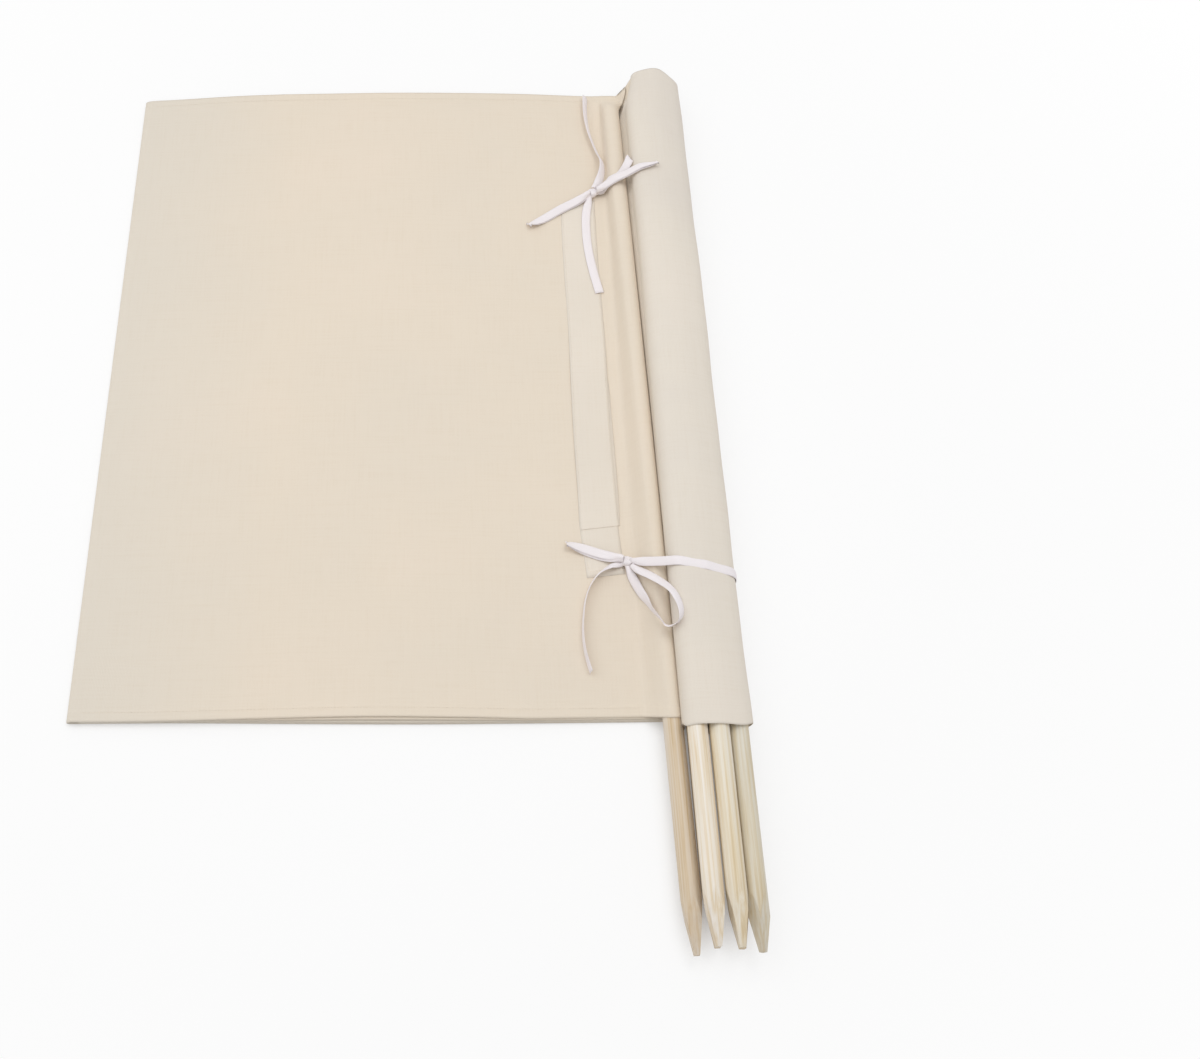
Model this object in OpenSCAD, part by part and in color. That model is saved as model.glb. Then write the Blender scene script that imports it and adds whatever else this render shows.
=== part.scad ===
// Beach windbreak, folded flat: cotton bays in a concertina, poles gathered and wrapped at one side
// Every size is in millimetres. X runs across the pack, Y along the poles toward their tops, Z up.

/* [Cloth] */
// Height of the cloth, measured along the poles
cloth_h = 800; // [600:10:1000]
// Thickness of the cotton cloth
cloth_t = 0.4; // [0.3:0.05:0.6]
// Air between two leaves, and between a leaf and what it passes
leaf_gap = 0.2; // [0.15:0.05:0.4]
// From the outer fold to the first pole's axis, at the lower edge
fold_to_pole = 566.5; // [480:0.5:700]
// How far the inner folds lie behind the outer fold
fold_inset = 12; // [8:1:40]
// How far the wrapped turn hangs below the leaves
wrap_drop = 15; // [4:1:20]
// How far the wrapped turn stands above the leaves' upper edge
wrap_rise = 8; // [2:1:12]

/* [Poles] */
// Diameter of a pole
pole_d = 19; // [17:0.5:22]
// Length of a pole from its top to its point
pole_len = 990; // [880:10:1200]
// How far the poles stand out below the cloth
pole_reach = 220; // [150:5:260]
// Length of the four-sided point
point_len = 50; // [30:1:70]
// Width of the blunt end of the point
point_flat = 5; // [3:0.5:8]
// Lean of the first pole from the others, in degrees
pole_lean = 0.8; // [0:0.1:0.8]

/* [Pockets and roll] */
// Slack between a pole and its pocket, all round
pocket_slack = 0.2; // [0.15:0.05:0.3]
// From the first pole's axis to the seam of its pocket
pocket_lip = 16; // [14:0.5:24]
// Lap of a leaf sewn under a pocket
seam_w = 6; // [4:0.5:8]
// Cloth closing the top of a pocket
pocket_end = 0.8; // [0.6:0.1:1.5]
// Room between the first pocket and the bundle, beside the leaf that climbs there
valley = 1.4; // [1.2:0.1:3]
// How far the upper poles sit to the left of the lower ones
row_stagger = 3; // [2:0.5:4]
// Slope from the upper middle pole down to the right-hand one, in degrees
side_slope = 20; // [16:1:24]
// Slack of the wrapped turn at the sides of the bundle
wrap_slack = 3; // [1:0.5:4]

/* [Strap] */
// Width of the carrying strap
strap_w = 40; // [30:1:50]
// Thickness of the strap, sewn from folded cloth
strap_t = 0.6; // [0.5:0.1:1.6]
// Air between the strap's folded layers
strap_gap = 0.2; // [0.15:0.05:0.5]
// From the first pole's axis to the strap's nearer edge
strap_inset = 36; // [34:0.5:60]

/* [Ties] */
// Width of the cotton tie tape
tape_w = 10; // [9:0.2:12]
// Thickness of the tie tape
tape_t = 0.5; // [0.4:0.05:0.8]
// Size of a tie's knot
knot_d = 13; // [11:0.5:15]

/* [Hidden] */
cloth_tone = [0.80, 0.71, 0.60];
wood_tone = [0.74, 0.61, 0.42];
tape_tone = [0.86, 0.81, 0.79];
over = 2; // overrun of every cut
bend_steps = 10; // straight pieces in a small bend of cloth
tape_steps = 4; // straight pieces between two route points of a tape
full_turn = 360; // degrees
$fn = 48;

// Levels of the ten leaves, counted from the floor
pitch = cloth_t + leaf_gap;
leaf_count = 10;
top_leaf = leaf_count - 1;
function leaf_z(k) = cloth_t / 2 + k * pitch;
stack_h = leaf_z(top_leaf) + cloth_t / 2;

// Radii of a pole, of the inside and outside of its pocket, and of cloth passing the pocket
pole_r = pole_d / 2;
pocket_in = pole_r + pocket_slack;
pocket_out = pocket_in + cloth_t;
pass_r = pocket_out + leaf_gap + cloth_t / 2;
space = 2 * pocket_out + leaf_gap;

// Pole axes in the cross-section, as X and Z
axis_1 = [fold_to_pole, stack_h + leaf_gap + pocket_out];
low_z = leaf_z(top_leaf - 2) + cloth_t / 2 + leaf_gap + pocket_out;
low_left = [fold_to_pole + 2 * pocket_out + cloth_t + valley, low_z];
low_right = [low_left[0] + 2 * pocket_out + 2 * pitch + 2 * leaf_gap + leaf_gap / 2, low_z];
up_x = low_left[0] - row_stagger;
side_dx = up_x + space + space * cos(side_slope) - low_right[0];
side_dz = sqrt(space * space - side_dx * side_dx);
up_z = low_z + side_dz + space * sin(side_slope);
up_left = [up_x, up_z];
up_mid = [up_x + space, up_z];
side = up_mid + space * [cos(side_slope), -sin(side_slope)];
roll_top = up_z + pass_r + cloth_t / 2;

// The wrapped turn hangs a little slack at both sides, so it turns there on lower and wider arcs
slack_r = pass_r + wrap_slack;
slack_left = up_left - [0, wrap_slack];
slack_side = side - [0, wrap_slack];
roll_right = slack_side[0] + slack_r + cloth_t / 2;

// Poles 1 to 6 in the order the cloth joins them, with the share of the reach each one shows
axes = [axis_1, up_left, low_left, up_mid, low_right, side];
reach_shares = [1.009, 0.995, 0.98, 1, 0.986, 1.0136];
longest_share = max(reach_shares);
point_turns = [0, 8, -6, 4, 10, 40];

// Levels and places of the strap and the ties
strap_right = fold_to_pole - strap_inset;
strap_left = strap_right - strap_w;
strap_top = stack_h + leaf_gap + strap_t;
pocket_top = axis_1[1] + pocket_out;
strap_end_shares = [0.187, 0.8];
strap_fold_shares = [0.479, 0.2575];
strap_drop_shares = [0.5, 0.6];
knot_shares = [0.807, 0.206];
knot_lift_share = 0.37;
knot_side_shares = [-0.3, 0.48];
function knot_place(n) = [strap_right + knot_side_shares[n] * tape_w, knot_shares[n] * cloth_h,
    strap_top + knot_lift_share * knot_d];
upper_knot = knot_place(0);
lower_knot = knot_place(1);

// The frame's origin lies under the middle of the whole folded pack
pack_mid = [roll_right / 2, (cloth_h + wrap_rise - longest_share * pole_reach) / 2];

// Flat ribbons of cloth, drawn round a path
function unit(v) = v / norm(v);
function turned(p) = [for (i = [len(p) - 1 : -1 : 0]) p[i]];
function run(p, i) = unit(p[i + 1] - p[i]);
function mitre(p, i) =
    let (a = run(p, max(i - 1, 0)), b = run(p, min(i, len(p) - 2)), m = unit(a + b))
    [-m[1], m[0]] / (m * a);
function beside(p, off) = [for (i = [0 : len(p) - 1]) p[i] + off * mitre(p, i)];
function ribbon(p, t) = concat(beside(p, t / 2), turned(beside(p, -t / 2)));
function on_arc(c, r, a) = c + r * [cos(a), sin(a)];
function spiral(c, r0, r1, a0, a1) =
    [for (i = [0 : bend_steps]) let (s = i / bend_steps) on_arc(c, r0 + (r1 - r0) * s, a0 + (a1 - a0) * s)];
function arc(c, r, a0, a1) = spiral(c, r, r, a0, a1);

// Angle at which a taut cloth leaves one round thing for the next, both on its left hand
function leave(c1, r1, c2, r2) =
    let (d = c2 - c1) atan2(d[1], d[0]) - acos((r1 - r2) / norm(d));

// Where each inner leaf goes at its right-hand end
gap_x = (low_left[0] + pocket_out + low_right[0] - pocket_out) / 2;
climb = [axis_1[0] + axis_1[1] - leaf_z(top_leaf - 1), axis_1[1]];
climb_end = 235;
rise_share = 0.84;
function end_up_left() = concat(
    arc(axis_1, axis_1[1] - leaf_z(top_leaf - 1), -90, 0),
    [[climb[0], low_z + pocket_out / 2], on_arc(up_left, pass_r + leaf_gap, climb_end)]);
function end_low_left(k) = [[low_left[0] - (top_leaf - 2 - k) * seam_w, leaf_z(k)]];
function end_up_mid(k, side_of_gap) = concat(
    spiral(low_left, low_z - leaf_z(k), gap_x + side_of_gap * pitch / 2 - low_left[0], -90, 0),
    [[gap_x + side_of_gap * pitch / 2, up_z - rise_share * pocket_out]]);
function end_low_right(k) = [
    [low_left[0] + pocket_out / 2, leaf_z(k)], [low_right[0] - pocket_out / 2, leaf_z(k + 4)],
    [low_right[0] - (3 - k) * seam_w / 2, leaf_z(k + 4)]];
function end_side(k) = concat(
    arc(low_right, low_z - leaf_z(k), -90, -30), [side + [0, -pass_r - leaf_gap]]);

// One folded bay: right-hand end, left along its upper leaf, round the fold, right along its lower leaf
function bay(k, upper_end, lower_end) = concat(
    turned(upper_end),
    arc([fold_inset, (leaf_z(k) + leaf_z(k - 1)) / 2], pitch / 2, 90, 270),
    lower_end);

outer_fold_r = (leaf_z(top_leaf) - leaf_z(0)) / 2;
outer_path = concat(
    [[fold_to_pole - seam_w, leaf_z(top_leaf)]],
    arc([outer_fold_r + cloth_t / 2, leaf_z(0) + outer_fold_r], outer_fold_r, 90, 270),
    [[fold_to_pole, leaf_z(0)]]);

// The wrapped turn: along the floor, up round the right-hand pole, over the top and down to the left
floor_r = low_z - leaf_z(0);
leave_floor = leave(low_right, floor_r, slack_side, slack_r);
leave_side = leave(slack_side, slack_r, up_mid, pass_r);
wrap_end = 200;
wrap_path = concat(
    [[fold_to_pole, leaf_z(0)]],
    arc(low_right, floor_r, -90, leave_floor),
    arc(slack_side, slack_r, leave_floor, leave_side),
    arc(up_mid, pass_r, leave_side, 90),
    arc(slack_left, slack_r, 90, wrap_end));

module drawn_up(low, high) {
    translate([0, high, 0]) rotate([90, 0, 0]) linear_extrude(high - low) children();
}

module in_place() {
    translate([-pack_mid[0], -pack_mid[1], 0]) children();
}

module leaf_piece(path, low, high) {
    color(cloth_tone) in_place() drawn_up(low, high) polygon(ribbon(path, cloth_t));
}

module leaning() {
    translate([fold_to_pole, 0, 0]) rotate([0, 0, pole_lean]) translate([-fold_to_pole, 0, 0]) children();
}

// A round pole with a blunt four-sided point, its tip toward -Y
module pole(n) {
    cut = atan((pole_r - point_flat / 2) / point_len);
    translate([axes[n][0], -reach_shares[n] * pole_reach, axes[n][1]]) rotate([-90, 0, 0]) difference() {
        cylinder(r = pole_r, h = pole_len);
        for (turn = [0 : 90 : 270]) rotate([0, 0, turn + point_turns[n]])
            translate([point_flat / 2, -pole_d, 0]) rotate([0, cut, 0]) translate([0, 0, -over])
            cube([pole_d, 2 * pole_d, 2 * point_len]);
    }
}

module pole_piece(n) {
    color(wood_tone) in_place() pole(n);
}

// A round pocket in the bundle, sewn shut at its top
module pocket(n) {
    color(cloth_tone) in_place() translate([axes[n][0], cloth_h, axes[n][1]]) rotate([90, 0, 0])
        difference() {
            cylinder(r = pocket_out, h = cloth_h);
            translate([0, 0, pocket_end]) cylinder(r = pocket_in, h = cloth_h);
        }
}

// The first pocket lies open to the left, so it tapers to its seam
slope_share = 0.97; // where the sloping side ends inside the round
module drop_shape(r, tip) {
    reach = norm([tip, r]);
    touch = 180 + atan(r / tip) - acos(r / reach);
    circle(r);
    polygon([[-tip, -r], [0, -r], [0, 0], slope_share * r * [cos(touch), sin(touch)]]);
}

module pocket_1() {
    color(cloth_tone) in_place() leaning() difference() {
        translate([axis_1[0], 0, axis_1[1]]) drawn_up(0, cloth_h) drop_shape(pocket_out, pocket_lip);
        translate([axis_1[0], 0, axis_1[1]]) drawn_up(-over, cloth_h - pocket_end)
            drop_shape(pocket_in, pocket_lip * pocket_in / pocket_out);
    }
}

module pole_1() { color(wood_tone) in_place() leaning() pole(0); }
module pole_2() { pole_piece(1); }
module pole_3() { pole_piece(2); }
module pole_4() { pole_piece(3); }
module pole_5() { pole_piece(4); }
module pole_6() { pole_piece(5); }

module pocket_2() { pocket(1); }
module pocket_3() { pocket(2); }
module pocket_4() { pocket(3); }
module pocket_5() { pocket(4); }
module pocket_6() { pocket(5); }

module bay_1() { leaf_piece(outer_path, 0, cloth_h); }
module bay_2() { leaf_piece(bay(8, end_up_left(), end_low_left(7)), 0, cloth_h); }
module bay_3() { leaf_piece(bay(6, end_low_left(6), end_up_mid(5, -1)), 0, cloth_h); }
module bay_4() { leaf_piece(bay(4, end_up_mid(4, 1), end_low_right(3)), 0, cloth_h); }
module bay_5() { leaf_piece(bay(2, end_low_right(2), end_side(1)), 0, cloth_h); }
module roll_wrap() { leaf_piece(wrap_path, -wrap_drop, cloth_h + wrap_rise); }

// The strap lies slack, folded twice on itself near its lower end
strap_step = strap_t + strap_gap;
strap_z = stack_h + leaf_gap + strap_t / 2;
function strap_y(share) = share * cloth_h;
strap_path = concat(
    [[strap_y(strap_end_shares[0]), strap_z]],
    arc([strap_y(strap_fold_shares[0]), strap_z + strap_step / 2], strap_step / 2, -90, 90),
    arc([strap_y(strap_fold_shares[1]), strap_z + strap_step * 3 / 2], strap_step / 2, 270, 90),
    [[strap_y(strap_drop_shares[0]), strap_z + 2 * strap_step], [strap_y(strap_drop_shares[1]), strap_z],
     [strap_y(strap_end_shares[1]), strap_z]]);

module carry_strap() {
    color(cloth_tone) in_place() translate([strap_left, 0, 0]) rotate([90, 0, 90])
        linear_extrude(strap_w) polygon(ribbon(strap_path, strap_t));
}

// Tie tapes: a flat tape swept through route points, each with the way its width lies
function between(p, i, s) =
    let (n = len(p) - 1, a = p[max(i - 1, 0)], b = p[i], c = p[i + 1], d = p[min(i + 2, n)])
    (2 * b + (c - a) * s + (2 * a - 5 * b + 4 * c - d) * s * s + (3 * b - a - 3 * c + d) * s * s * s) / 2;
function smoothed(p) = concat(
    [for (i = [0 : len(p) - 2]) for (j = [0 : tape_steps - 1]) between(p, i, j / tape_steps)],
    [p[len(p) - 1]]);
function along(p, i) = unit(p[min(i + 1, len(p) - 1)] - p[max(i - 1, 0)]);
function ring(c, t, w) =
    let (h = w * tape_w / 2, n = unit(cross(t, w)) * tape_t / 2) [c + h + n, c - h + n, c - h - n, c + h - n];

module tape(centres, widths) {
    n = len(centres);
    last = 4 * (n - 1);
    points = [for (i = [0 : n - 1]) each ring(centres[i], along(centres, i), widths[i])];
    sides = [for (i = [0 : n - 2]) for (j = [0 : 3]) let (a = 4 * i + j, b = 4 * i + (j + 1) % 4)
        each j == 2 ? [[a, b, a + 4], [b, b + 4, a + 4]] : [[a, b, b + 4], [a, b + 4, a + 4]]];
    ends = [[2, 1, 0], [3, 2, 0], [last, last + 1, last + 2], [last, last + 2, last + 3]];
    color(tape_tone) in_place() polyhedron(points = points, faces = concat(sides, ends));
}

// Level of what a tape lies on; over the valley it hangs straight from the pocket to the roll's shoulder
pocket_rise = tan(2 * atan(pocket_out / pocket_lip));
shoulder_r = slack_r + cloth_t / 2;
shoulder_turn = 140;
shoulder = on_arc(slack_left, shoulder_r, shoulder_turn);
function shoulder_z(x) =
    let (d = x - slack_left[0])
    abs(d) < shoulder_r ? slack_left[1] + sqrt(shoulder_r * shoulder_r - d * d) : 0;
function bridge_z(x, ax) =
    x > shoulder[0] ? 0 : pocket_top + (shoulder[1] - pocket_top) * (x - ax) / (shoulder[0] - ax);
function on_strap(x, y) = x > strap_left && x < strap_right
    && y > strap_end_shares[0] * cloth_h && y < strap_end_shares[1] * cloth_h;
function ground(x, y) =
    let (ax = fold_to_pole - y * tan(pole_lean), seam = ax - pocket_lip)
    x > slack_left[0] ? roll_top
    : x > ax ? max(shoulder_z(x), bridge_z(x, ax))
    : x > seam ? min(pocket_top, stack_h + leaf_gap + (x - seam) * pocket_rise)
    : on_strap(x, y) ? strap_top : stack_h;

// Route rows: place from the knot and lift over the ground in tape widths, then heading and tilt on edge
function width_way(r) = [-sin(r[3]) * cos(r[4]), cos(r[3]) * cos(r[4]), sin(r[4])];
function spot(k, r) =
    let (x = k[0] + r[0] * tape_w, y = k[1] + r[1] * tape_w, w = width_way(r) * tape_w / 2)
    [x, y, max([for (s = [-1 : 1]) ground(x + s * w[0], y + s * w[1])]) + abs(w[2]) + tape_t / 2
        + r[2] * tape_w];

module tied(k, rows) {
    tape(smoothed([for (r = rows) spot(k, r)]), [for (v = smoothed([for (r = rows) width_way(r)])) unit(v)]);
}

upper_left_loop_shares = [
    [-0.59, -0.38, 0.3, 213, 0], [-1.9, -1.1, 0.05, 213, 6], [-3.8, -2.3, 0.03, 213, 10],
    [-5.7, -3.55, 0.03, 213, 14], [-7, -4.45, 0.04, 213, 26], [-7.4, -4.72, 0.12, 213, 40],
    [-7, -4.42, 0.2, 213, 26], [-5.7, -3.5, 0.2, 213, 14], [-3.8, -2.24, 0.2, 213, 10],
    [-1.9, -1.02, 0.24, 213, 6], [-0.62, -0.3, 0.6, 213, 0]];
upper_right_loop_shares = [
    [0.68, 0.1, 0.8, 9, 6], [1.5, 0.27, 1, 9, 6], [2.32, 0.42, 0.22, 9, 4], [3, 0.5, 0.28, 8, 0],
    [3.9, 0.56, 0.22, 7, -6], [5.2, 0.6, 0.06, 10, -16], [6.3, 0.8, 0.05, 13, -30],
    [7.2, 1.03, 0.14, 14, -46], [6.3, 0.86, 0.22, 13, -30], [5.2, 0.68, 0.24, 10, -16],
    [3.9, 0.62, 0.4, 7, -6], [3, 0.55, 0.46, 8, 0], [2.32, 0.46, 0.4, 9, 4], [1.5, 0.31, 1.18, 9, 6],
    [0.68, 0.16, 1, 9, 6]];
upper_top_tail_shares = [
    [0.24, 0.66, 0.72, 62, 6], [0.7, 1.35, 0.6, 66, 16], [1.1, 2.3, 0.25, 74, 34],
    [1.33, 3.4, 0.04, 86, 48], [1.3, 4.55, 0.04, 96, 54], [1, 6.05, 0.04, 104, 56],
    [0.5, 7.9, 0.04, 104, 56], [0.1, 9.8, 0.04, 99, 56], [-0.1, 11.85, 0.04, 93, 55],
    [-0.1, 13.7, 0.04, 88, 54], [0, 15.3, 0.04, 86, 52]];
upper_low_tail_shares = [
    [-0.3, -0.55, 0.1, 258, 0], [-0.77, -2.6, 0.03, 264, 0], [-0.92, -5, 0.03, 269, 0],
    [-0.85, -7.8, 0.03, 275, 0], [-0.5, -10.8, 0.03, 279, 0], [0.1, -14.2, 0.03, 280, 0]];
upper_band_shares = [
    [0.55, 0.3, 0.14, 18, 0], [1.2, 0.52, 0.3, 18, 0], [1.62, 0.66, 0.25, 18, 0],
    [2, 0.79, 0.2, 19, 0], [2.4, 0.92, 0.06, 20, 0], [3, 1.12, 0.04, 26, 0], [3.6, 1.6, 0.04, 40, 0],
    [4, 2.2, -0.05, 36, 0], [4.2, 2.7, -0.45, 16, 0], [4.25, 2.9, -1.2, 0, 0], [4.25, 2.95, -1.9, 0, 0]];
lower_left_loop_shares = [
    [-0.7, 0.12, 0.62, 158, 0], [-1.4, 0.38, 0.4, 158, 0], [-2.6, 0.82, 0.06, 158, 0],
    [-4, 1.36, 0.04, 158, 4], [-5.2, 1.82, 0.06, 162, 26], [-5.95, 1.98, 0.2, 168, 50],
    [-5.3, 1.94, 0.44, 162, 26], [-4, 1.62, 0.54, 158, 0], [-2.6, 1.06, 0.48, 158, -4],
    [-1.4, 0.54, 0.66, 158, 0], [-0.7, 0.26, 0.85, 158, 0]];
lower_right_loop_shares = [
    [0.17, -0.66, 0.1, 292, 16], [0.38, -1.4, 0.08, 290, 26], [0.7, -2.3, 0.1, 288, 36],
    [1.12, -3.5, 0.14, 288, 52], [1.56, -4.72, 0.18, 290, 74], [1.92, -5.85, 0.18, 293, 92],
    [2.36, -7.05, 0.14, 300, 97], [2.95, -8, 0.1, 318, 95], [3.5, -8.4, 0.1, 348, 86],
    [4, -8.3, 0.08, 400, 70], [4.26, -7.55, 0.08, 434, 56], [4.16, -6.35, 0.08, 452, 46],
    [3.68, -5, 0.12, 466, 40], [3, -3.7, 0.18, 480, 34], [2.05, -2.45, 0.25, 490, 26],
    [1.2, -1.5, 0.4, 494, 18], [0.55, -0.8, 0.6, 496, 10]];
lower_tail_shares = [
    [-0.66, -0.24, 0.02, 192, 10], [-1.66, -0.55, 0.03, 205, 45], [-2.9, -1.45, 0.04, 225, 72],
    [-3.8, -2.7, 0.04, 241, 80], [-4.34, -4.14, 0.04, 255, 83], [-4.63, -5.72, 0.04, 263, 84],
    [-4.8, -7.6, 0.04, 269, 84], [-4.72, -9.45, 0.04, 276, 84], [-4.47, -10.85, 0.04, 283, 82],
    [-4.22, -11.9, 0.04, 285, 80]];

// The lower band slants from the knot, runs taut over the roll and is sewn on below its right-hand side
band_pass = cloth_t / 2 + leaf_gap + tape_t / 2;
band_start_shares = [0.72, 0.1];
band_start = [lower_knot[0], lower_knot[2]] + band_start_shares * tape_w;
band_slant_share = 0.4;
band_left_r = slack_r + band_pass;
band_meet = let (d = band_start - slack_left)
    atan2(d[1], d[0]) + full_turn - acos(band_left_r / norm(d));
band_flat = concat(
    [band_start, (band_start + on_arc(slack_left, band_left_r, band_meet)) / 2],
    arc(slack_left, band_left_r, band_meet, 90),
    arc(up_mid, pass_r + band_pass, 90, leave_side),
    arc(slack_side, band_left_r, leave_side, leave_floor));
function length_to(p, i) = i == 0 ? 0 : length_to(p, i - 1) + norm(p[i] - p[i - 1]);
band_long = length_to(band_flat, len(band_flat) - 1);
function band_y(s) = lower_knot[1] - band_slant_share * s * (1 - s / band_long / 2);
band_centres = [for (i = [0 : len(band_flat) - 1])
    [band_flat[i][0], band_y(length_to(band_flat, i)), band_flat[i][1]]];
band_widths = [for (i = [0 : len(band_flat) - 1]) let (m = mitre(band_flat, i))
    unit(cross([m[0], 0, m[1]], along(band_centres, i)))];

// A knot is a ball of wound tape, pressed flat where it lies
module knot(k) {
    color(tape_tone) in_place() intersection() {
        translate(k) sphere(d = knot_d);
        translate([k[0] - knot_d, k[1] - knot_d, strap_top]) cube(2 * knot_d);
    }
}

module upper_tie_knot() { knot(upper_knot); }
module upper_tie_left_loop() { tied(upper_knot, upper_left_loop_shares); }
module upper_tie_right_loop() { tied(upper_knot, upper_right_loop_shares); }
module upper_tie_top_tail() { tied(upper_knot, upper_top_tail_shares); }
module upper_tie_low_tail() { tied(upper_knot, upper_low_tail_shares); }
module upper_tie_band() { tied(upper_knot, upper_band_shares); }
module lower_tie_knot() { knot(lower_knot); }
module lower_tie_left_loop() { tied(lower_knot, lower_left_loop_shares); }
module lower_tie_right_loop() { tied(lower_knot, lower_right_loop_shares); }
module lower_tie_tail() { tied(lower_knot, lower_tail_shares); }
module lower_tie_band() { tape(band_centres, band_widths); }

pole_1();
pole_2();
pole_3();
pole_4();
pole_5();
pole_6();
pocket_1();
pocket_2();
pocket_3();
pocket_4();
pocket_5();
pocket_6();
bay_1();
bay_2();
bay_3();
bay_4();
bay_5();
roll_wrap();
carry_strap();
upper_tie_knot();
upper_tie_left_loop();
upper_tie_right_loop();
upper_tie_top_tail();
upper_tie_low_tail();
upper_tie_band();
lower_tie_knot();
lower_tie_left_loop();
lower_tie_right_loop();
lower_tie_tail();
lower_tie_band();
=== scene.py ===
# %% [markdown]
# # A folded beach windbreak
# Five bays of unbleached cotton lie folded in a concertina. Their poles are gathered at the right and
# wrapped in one turn of cloth, a flat strap lies slack beside them, and tape ties close the pack in bows.
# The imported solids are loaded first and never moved. Every soft piece is then made again as real cloth
# around them, in millimetres from one corner of the pack, so that each one lies where its solid is.

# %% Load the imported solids
import math

import bpy
import numpy as np
from mathutils import Matrix, Vector


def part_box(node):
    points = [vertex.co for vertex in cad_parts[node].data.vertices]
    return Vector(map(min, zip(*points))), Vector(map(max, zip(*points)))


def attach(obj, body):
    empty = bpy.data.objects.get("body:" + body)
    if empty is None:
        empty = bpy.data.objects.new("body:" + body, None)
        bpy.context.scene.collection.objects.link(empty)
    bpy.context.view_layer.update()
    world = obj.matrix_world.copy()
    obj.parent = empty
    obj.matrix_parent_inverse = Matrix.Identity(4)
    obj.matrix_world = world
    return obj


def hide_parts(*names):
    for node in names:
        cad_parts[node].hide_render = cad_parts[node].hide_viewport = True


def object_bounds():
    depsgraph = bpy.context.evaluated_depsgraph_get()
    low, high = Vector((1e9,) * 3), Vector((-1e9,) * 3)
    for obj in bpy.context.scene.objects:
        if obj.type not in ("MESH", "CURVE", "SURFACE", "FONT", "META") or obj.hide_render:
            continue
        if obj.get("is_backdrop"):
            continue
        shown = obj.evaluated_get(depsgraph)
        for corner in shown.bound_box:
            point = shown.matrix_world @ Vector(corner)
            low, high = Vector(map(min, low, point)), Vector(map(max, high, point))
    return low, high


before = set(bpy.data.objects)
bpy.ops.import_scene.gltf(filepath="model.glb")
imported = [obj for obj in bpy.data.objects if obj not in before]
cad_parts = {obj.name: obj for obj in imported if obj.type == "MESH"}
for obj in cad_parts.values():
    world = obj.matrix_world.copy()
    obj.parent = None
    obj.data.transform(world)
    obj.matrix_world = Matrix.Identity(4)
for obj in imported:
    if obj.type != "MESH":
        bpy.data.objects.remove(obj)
cad_box = [list(corner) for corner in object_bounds()]
MM = 0.001
CORNER = np.array(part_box("bay_1")[0])  # outer fold, lower edge, floor
print("solids", len(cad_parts), "corner", CORNER.round(4))

# %% [markdown]
# ## Camera
# The viewing point was worked out from the panel's corners and the parallel edges of the roll. A small
# sideways shift puts the pack at the left of the picture, as a cropped photograph does. The three angles
# are turned into the camera's own axes, which is easier to check than a chain of rotations.

# %% Camera
CAMERA_PLACE = np.array((352.5, -468.1, 1252.5))
YAW, PITCH, ROLL = (math.radians(a) for a in (6.22, 61.50, 5.09))
ahead = Vector((math.sin(YAW) * math.cos(PITCH), math.cos(YAW) * math.cos(PITCH), -math.sin(PITCH)))
level = Vector((math.cos(YAW), -math.sin(YAW), 0))
above = level.cross(ahead)
right = math.cos(ROLL) * level + math.sin(ROLL) * above
upright = right.cross(ahead)
camera = bpy.data.objects.new("camera", bpy.data.cameras.new("camera"))
camera.data.sensor_width = 36
camera.data.lens = 42
camera.data.shift_x = 0.07
facing = Matrix((right, upright, -ahead)).transposed().to_4x4()
camera.matrix_world = Matrix.Translation(CAMERA_PLACE * MM + CORNER) @ facing
bpy.context.scene.collection.objects.link(camera)
bpy.context.scene.camera = camera
print("camera at", [round(c, 3) for c in camera.matrix_world.translation])

# %% [markdown]
# ## Sizes shared with the solids
# These are the sizes that the cloth has to follow: the levels of the ten leaves, the pole axes in the
# cross-section and the places of the strap and the knots. The axes of the straight poles are read from
# their boxes, so the cloth goes round the poles that are really there.

# %% Sizes, in millimetres
CLOTH_H, CLOTH_T, LEAF_GAP = 800.0, 0.4, 0.2
PITCH_Z = CLOTH_T + LEAF_GAP
TOP_LEAF = 9
LEAF_Z = CLOTH_T / 2 + PITCH_Z * np.arange(TOP_LEAF + 1)
STACK_H = LEAF_Z[TOP_LEAF] + CLOTH_T / 2
FOLD_TO_POLE, FOLD_INSET, SEAM_W = 566.5, 12.0, 6.0
LEAN = math.tan(math.radians(0.8))
POCKET_R, POCKET_OUT = 9.9, 10.1
PASS_R = POCKET_OUT + LEAF_GAP + CLOTH_T / 2
POLE_TOPS = (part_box("pole_1")[1][1] - CORNER[1]) / MM


def pole_axis(n):
    """X and Z of a straight pole's axis."""
    low, high = (np.array(c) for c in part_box(f"pole_{n}"))
    middle = ((low + high) / 2 - CORNER) / MM
    return np.array((middle[0], middle[2]))


UP_LEFT, LOW_LEFT, UP_MID, LOW_RIGHT, SIDE = (pole_axis(n) for n in range(2, 7))
FLOOR_R = LOW_LEFT[1] - LEAF_Z[0]
AXIS_1 = np.array((FOLD_TO_POLE, STACK_H + LEAF_GAP + POCKET_OUT))
ROLL_TOP = UP_MID[1] + PASS_R + CLOTH_T / 2
POCKET_TOP = AXIS_1[1] + POCKET_OUT
STRAP_LEFT, STRAP_W, STRAP_T = 490.5, 40.0, 0.6
STRAP_TOP = STACK_H + LEAF_GAP + STRAP_T
WRAP_SLACK = 3.0
SLACK_R = PASS_R + WRAP_SLACK
SLACK_LEFT, SLACK_SIDE = UP_LEFT - (0, WRAP_SLACK), SIDE - (0, WRAP_SLACK)
print("roll top", round(ROLL_TOP, 2), "pole axes", UP_LEFT.round(1), SIDE.round(1))


# %% Small helpers for paths and meshes
def unit(v):
    return v / np.linalg.norm(v, axis=-1, keepdims=True)


def smooth_step(a, b, x):
    s = np.clip((x - a) / (b - a), 0, 1)
    return s * s * (3 - 2 * s)


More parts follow.
